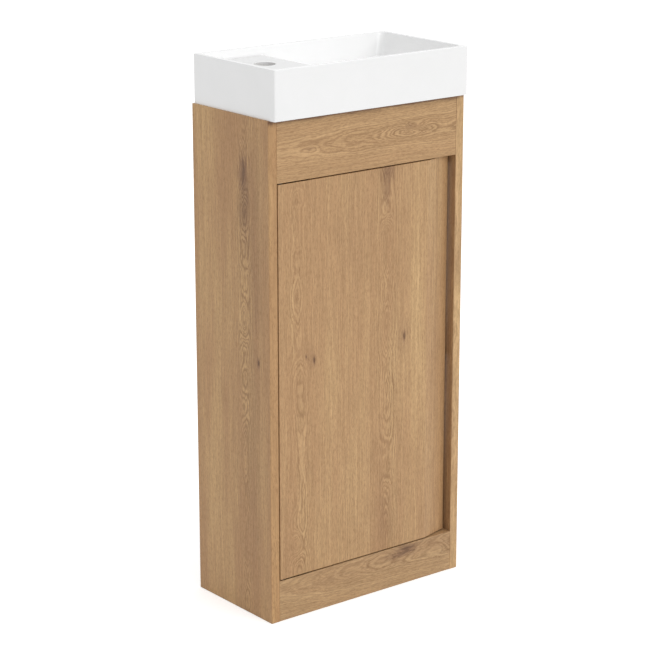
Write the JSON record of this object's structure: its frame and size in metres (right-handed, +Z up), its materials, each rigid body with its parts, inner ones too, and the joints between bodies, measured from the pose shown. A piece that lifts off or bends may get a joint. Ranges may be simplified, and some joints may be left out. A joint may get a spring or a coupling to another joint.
{
  "type": "cloakroom vanity unit",
  "caption": "Tall narrow oak-faced cabinet with an inset bevel-grip door under a rectangular white ceramic basin with a tap ledge, push-open waste and bottle trap.",
  "frame": {"origin": "on the floor, under the middle of the unit's overall box", "axes": "+X to the right seen from the front, +Y from the front to the wall, +Z up"},
  "size_m": [0.4, 0.214, 0.91],
  "materials": {
    "oak_upright": "satin oak-faced board, grain upright",
    "oak_door": "satin oak-faced board, grain upright",
    "oak_across": "satin oak-faced board, grain across",
    "oak_inside": "satin oak-faced board, inside the cabinet",
    "dowel_wood": "plain beech",
    "glazed_white": "gloss white glaze",
    "chrome": "polished",
    "bright_steel": "zinc plated",
    "satin_brass": "satin",
    "magnet_grey": "dull sintered magnet",
    "white_plastic": "moulded, slight sheen",
    "black_rubber": "matt",
    "clear_silicone": "translucent, soft"
  },
  "bodies": {
    "root": {"side_panel_left": "oak_upright", "side_panel_right": "oak_upright", "base_panel": "oak_inside", "plinth_front": "oak_across", "top_rail_front": "oak_across", "top_stretcher": "oak_inside", "back_rail_top": "oak_inside", "back_rail_bottom": "oak_inside", "joint_dowels": "dowel_wood", "shelf": "oak_inside", "shelf_pins": "bright_steel", "pivot_plate_top": "satin_brass", "pivot_plate_bottom": "satin_brass", "pivot_pins": "bright_steel", "pivot_washers": "white_plastic", "pivot_plate_screws": "bright_steel", "catch_housing": "white_plastic", "catch_magnet": "magnet_grey", "catch_poles": "bright_steel", "catch_screws": "bright_steel", "door_buffers": "clear_silicone", "basin": "glazed_white", "waste_body": "chrome", "waste_gasket": "black_rubber", "waste_lower_gasket": "black_rubber", "waste_backnut": "satin_brass", "waste_cartridge": "white_plastic", "trap_union_washer": "black_rubber", "trap_union_nut": "white_plastic", "trap_dip_tube": "white_plastic", "trap_neck_seal": "black_rubber", "trap_neck_nut": "white_plastic", "trap_body": "white_plastic", "trap_outlet_seal": "black_rubber", "trap_outlet_nut": "white_plastic", "trap_cup_seal": "black_rubber", "trap_cup": "white_plastic"},
    "door": {"door": "oak_door", "door_plate_top": "satin_brass", "door_plate_bottom": "satin_brass", "door_plate_screws": "bright_steel", "strike_plate": "bright_steel", "strike_screw": "bright_steel"},
    "plug": {"waste_plug": "chrome", "plug_seal": "black_rubber"}
  },
  "joints": [
    {"name": "door_swing", "type": "hinge", "parent": "root", "child": "door", "pos_m": [-0.1755, -0.09, 0.4], "axis": [0, 0, -1], "range_deg": [0, 105]},
    {"name": "plug_press", "type": "slide", "parent": "root", "child": "plug", "axis": [0, 0, 1], "range_m": [-0.008, 0], "stiffness_N_per_m": 400, "springref_m": 0.006}
  ]
}
